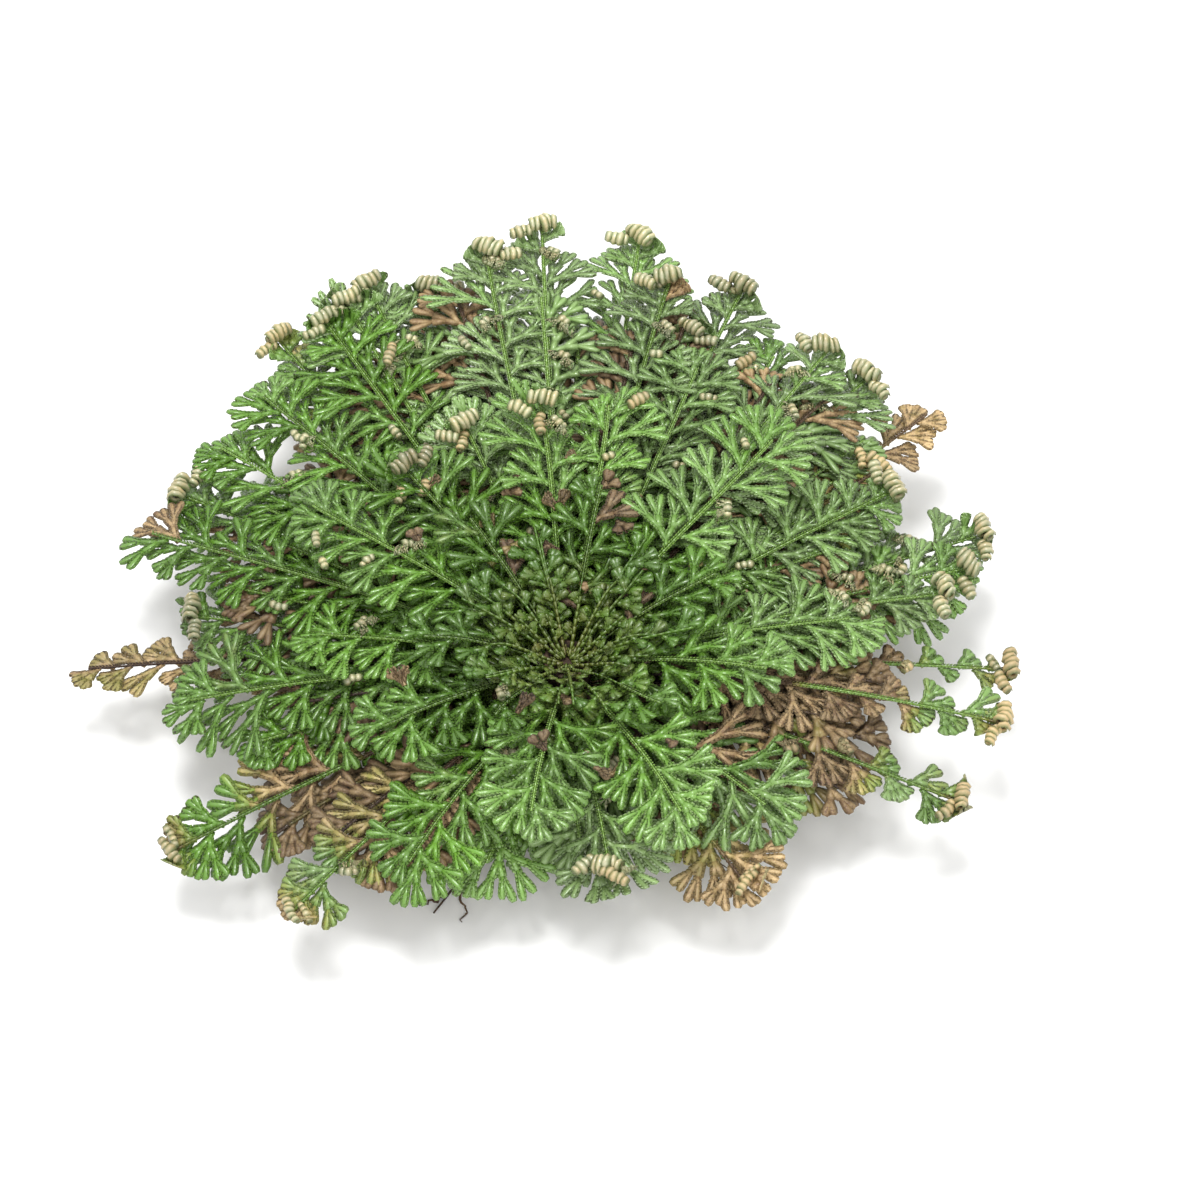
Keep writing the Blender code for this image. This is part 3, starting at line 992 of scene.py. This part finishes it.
def model_frond(name, rng):
    look = frond_look(name)
    blade = blades[name]
    direction, reach, stations, heights = blade
    inner = name.startswith("inner")
    far = max(0, math.sin(direction))
    left = smooth(-math.cos(direction), 0.45, 0.85)
    near_left = left * smooth(-math.sin(direction), -0.2, 0.4)
    lay = Lay(direction, reach, stations, heights, roll=look.roll,
              bend=look.bend + rng.uniform(-2.0, 2.0), cup=rng.uniform(-0.010, 0.004),
              sway=rng.uniform(-0.16, 0.16) * (not inner))
    width = blade_width(name) * look.wider * (1 + 0.12 * far)
    grey = look.grey * (0.2 if inner else 0.75 if name.startswith("middle") else 1.0)
    grey = (grey + rng.normal(0, 0.18) * (not inner)) * (1 - 0.65 * left)
    shade = rng.normal(0, 0.13) - 0.20 * left - 0.20 * near_left - 0.30 * inner
    habit = Habit(width, look.spread, 1.0 + 0.1 * far, 0.25 if reach > 75 else 0.05, look.beads, 0.20,
                  forks=2 if inner else 3, knob=look.roll, bare=0.45 if look.tissue == "dead_dark" else 0.0)
    lays = [(lay, frond_entries(rng, lay, habit))]
    if name.startswith("outer") and look.tissue != "dead":
        lays += [under_frond(rng, blade, side, width, look) for side in (-1, 1)]
    if inner:
        lays += [tongue(rng, blade, turn, share) for turn, share in TONGUES]
    if name in BESIDE:
        lays.append(frond_beside(rng, blade, *BESIDE[name], width, look))
    return build_piece("leafy_" + name, lays, tone_rule(look.tissue, grey, shade), rng)


leafy = {}
for number, name in enumerate(sorted(blades)):
    piece = model_frond(name, np.random.default_rng(1000 + number))
    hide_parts(name)
    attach(piece, "root")
    leafy[name] = piece
print(len(leafy), "fronds,", sum(len(piece.data.polygons) for piece in leafy.values()), "triangles")

# %% [markdown]
# The youngest fronds stand round the growing point in a spiral, as leaves do, each turned by the golden
# angle from the last. They are olive, short and narrow, and the innermost stand steepest.

# %% The heart
GOLDEN_ANGLE = math.radians(137.5)
HEART_TONGUES = 17

heart_points = points_of(nodes["heart_of_young_fronds"])
heart_away = np.hypot(heart_points[:, 0], heart_points[:, 1])
heart_stations = np.unique(heart_away.round(0))
heart_heights = np.array([heart_points[np.abs(heart_away - s) < 0.6, 2].mean() for s in heart_stations])
rng = np.random.default_rng(77)
heart_lays = []
for number in range(HEART_TONGUES):
    share = number / (HEART_TONGUES - 1)
    steep = 0.1 + 0.75 * share ** 2
    heights = heart_heights + steep * (heart_stations - heart_stations[0]) - 0.5
    lay = Lay(number * GOLDEN_ANGLE, 19.0 - 12.5 * share, heart_stations, heights,
              bend=rng.uniform(-0.6, 0.6), cup=0.05, start=2.2 - 1.4 * share)
    habit = Habit(8.5 - 4 * share, 0.8, 1.3, 0.0, 0.0, 0.05, forks=1, braided=False)
    heart_lays.append((lay, frond_entries(rng, lay, habit)))


def heart_tone(lay, middle, fan, luck):
    tone = np.zeros((len(middle), 3))
    tone[:, 0] = 0.34 - 0.012 * np.interp(middle[:, 0], lay.s, lay.a) + 0.03 * luck
    tone[:, 2] = -0.45
    return tone


heart = build_piece("leafy_heart", heart_lays, heart_tone, rng)
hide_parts("heart_of_young_fronds")
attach(heart, "root")
print("the heart has", HEART_TONGUES, "young fronds and", len(heart.data.polygons), "triangles")

# %% [markdown]
# Scraps lie on the rosette where they fell: curled side branches, pale and tan, and dry brown bits of
# old fronds. Each spot is a direction in degrees and a distance in mm from the growing point, and the
# scrap rests on the tissue there, which is looked up among the points of the finished fronds.

# %% Where the scraps lie
PALE_CURLS = ((159, 57), (158, 46), (107, 79), (86, 92), (63, 68), (79, 46), (61, 50), (139, 78),
              (163, 54), (91, 60), (75, 75), (191, 46), (28, 43), (125, 66), (50, 60), (172, 62))
TAN_CURLS = ((135, 51), (97, 51), (75, 60), (115, 55), (280, 58), (129, 49), (62, 84), (118, 84))
DRY_BITS = ((112, 38), (101, 25), (114, 26), (79, 38), (52, 26), (66, 18), (242, 22), (133, 24),
            (66, 39), (129, 48), (283, 30), (286, 33), (280, 33), (93, 30), (87, 44), (104, 44),
            (146, 38), (38, 34), (200, 36), (262, 30), (309, 33), (70, 31), (120, 31), (140, 57))
REST_RADIUS = 1.2
BARE_HEIGHT = 25.0
frond_tops = np.concatenate([points_of(piece) for piece in leafy.values()])


def top_at(x, y):
    """The height of the tissue that a scrap would rest on."""
    near = np.hypot(frond_tops[:, 0] - x, frond_tops[:, 1] - y) < REST_RADIUS
    return np.percentile(frond_tops[near, 2], 92) if near.any() else BARE_HEIGHT


class Spot:
    """A place on the rosette for a scrap, used as a lay: flat places are measured from its middle."""

    def __init__(self, degrees, away, lift, heading):
        self.x, self.y = turned(away, 0.0, math.radians(degrees))
        self.z = top_at(self.x, self.y) + lift
        self.heading = heading

    def put(self, flat):
        x, y = turned(flat[..., 0], flat[..., 1], self.heading)
        return np.stack([self.x + x, self.y + y, self.z + flat[..., 2]], -1)


print("the fronds are", round(top_at(40, 40), 1), "mm high 57 mm from the growing point")

# %% [markdown]
# A curled scrap is a short row of curls, and a dry bit is a small fan, clad as the others are and
# warped a little. Each kind is one mesh. The tan curls and the bits are withered.

# %% The scraps
TAN_CURL_SIZE = 1.9
rng = np.random.default_rng(99)
curl_lays = []
for spots, size, count in ((PALE_CURLS, 1.35, 2), (TAN_CURLS, TAN_CURL_SIZE, 4)):
    for degrees, away in spots:
        spot = Spot(degrees, away, size * 0.5, rng.uniform(0, 2 * math.pi))
        curl_lays.append((spot, [curl_entry(rng, (0, 0, 0), 0, size, count + rng.integers(0, 2), size)]))
bit_lays = []
for degrees, away in DRY_BITS:
    twigs = fan_twigs(rng, rng.uniform(0.3, 0.6), 1.2, rng.integers(1, 3))
    twigs["half"] *= 0.8
    made = []
    for part, group in zip((stretch, fingertip, scale_leaf), clad(twigs, rng, 0.3)):
        flat = place_copies(part, group)
        flat[..., 2] += rng.uniform(-0.15, 0.3) * flat[..., 0] + 0.12 * np.abs(flat[..., 1])
        made.append((part, flat, group[:, 7:], 0, False))
    bit_lays.append((Spot(degrees, away, 0.3, rng.uniform(0, 2 * math.pi)), made))


def curl_tone(lay, middle, size, luck):
    return np.tile((0.45 if size == TAN_CURL_SIZE else 0.0, 0.0, 0.35), (len(middle), 1))


def bit_tone(lay, middle, fan, luck):
    return np.tile((0.68 + 0.12 * luck, 0.0, 0.0), (len(middle), 1))


for name, lays, tone_of, slot in (("curled_scraps", curl_lays, curl_tone, "grey_green_frond"),
                                  ("dry_scraps", bit_lays, bit_tone, "dead_frond")):
    scraps = build_piece(name, lays, tone_of, rng)
    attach(scraps, "root")
    print(name, len(lays), "scraps and", len(scraps.data.polygons), "triangles")

# %% [markdown]
# The roots are wiry and dark, and they branch. Each is a few curves with a round bevel that gets
# thinner towards its end, and becomes a mesh last. The thickest strand follows the CAD root that it
# replaces. Two thin strands of the first root show at the right, under the dead fronds.

# %% The roots
ROOT_POINTS = 12
MAIN_THICK, BRANCH_THICK, HAIR_THICK = 0.62, 0.34, 0.30
BRANCH_STEPS = (4, 6, 7, 9, 10)
HAIR_DIRECTIONS = (309, 313)
HAIR_REACH = 57


def root_strand(curve, rng, start, end, thick, wander):
    """Adds a strand to a curve, from start to end in mm, with a few bends."""
    strand = curve.splines.new("POLY")
    strand.points.add(ROOT_POINTS - 1)
    drift = np.cumsum(rng.normal(0, wander, (ROOT_POINTS, 3)), axis=0)
    share = np.linspace(0, 1, ROOT_POINTS)
    drift -= share[:, None] * drift[-1]
    path = start + (end - start) * share[:, None] + drift * (1, 1, 0.4)
    path[:, 2] = np.maximum(path[:, 2], thick * 1.3)
    for point, place, along in zip(strand.points, path, share):
        point.co = (*(place * MM), 1)
        point.radius = thick * (1 - 0.65 * along)
    return path


def model_root(name, rng, hairs):
    points = points_of(nodes[name])
    away = np.hypot(points[:, 0], points[:, 1])
    inner, outer = points[away < away.min() + 2].mean(0), points[away > away.max() - 0.8].mean(0)
    outer = inner + 0.88 * (outer - inner)
    curve = bpy.data.curves.new(name, "CURVE")
    curve.dimensions = "3D"
    curve.bevel_depth = MM
    curve.bevel_resolution = 1
    curve.use_fill_caps = True
    path = root_strand(curve, rng, inner, outer, MAIN_THICK, 0.9)
    ahead = (outer - inner) / np.linalg.norm(outer - inner)
    aside = np.array([-ahead[1], ahead[0], 0])
    for step in BRANCH_STEPS:
        reach = rng.uniform(4, 9)
        end = path[step] + reach * (ahead * 0.8 + aside * rng.choice([-1, 1]) * rng.uniform(0.3, 0.9))
        end[2] = max(0.4, path[step][2] - rng.uniform(0, 3))
        root_strand(curve, rng, path[step], end, BRANCH_THICK, 0.5)
    for degrees in hairs:
        far = np.array([*turned(HAIR_REACH, 0.0, math.radians(degrees)), 0])
        root_strand(curve, rng, inner + far * 0.1, far + (0, 0, 3.0), HAIR_THICK, 0.6)
    piece = add_object("wiry_" + name, curve)
    bpy.ops.object.select_all(action="DESELECT")
    piece.select_set(True)
    bpy.context.view_layer.objects.active = piece
    bpy.ops.object.convert(target="MESH")
    return bpy.context.object


for number in range(1, 5):
    name = "root_" + str(number)
    piece = model_root(name, np.random.default_rng(500 + number), HAIR_DIRECTIONS if number == 1 else ())
    piece.data.materials.clear()
    piece.data.materials.append(dark_bark)
    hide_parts(name)
    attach(piece, "root")
    print(piece.name, len(piece.data.polygons), "faces")

# %% [markdown]
# The crown and the rootstock already have their shape in the CAD, so they stay and only get the bark.

# %% The crown and the rootstock
for name in ("crown", "rootstock"):
    nodes[name].data.materials.clear()
    nodes[name].data.materials.append(dark_bark)
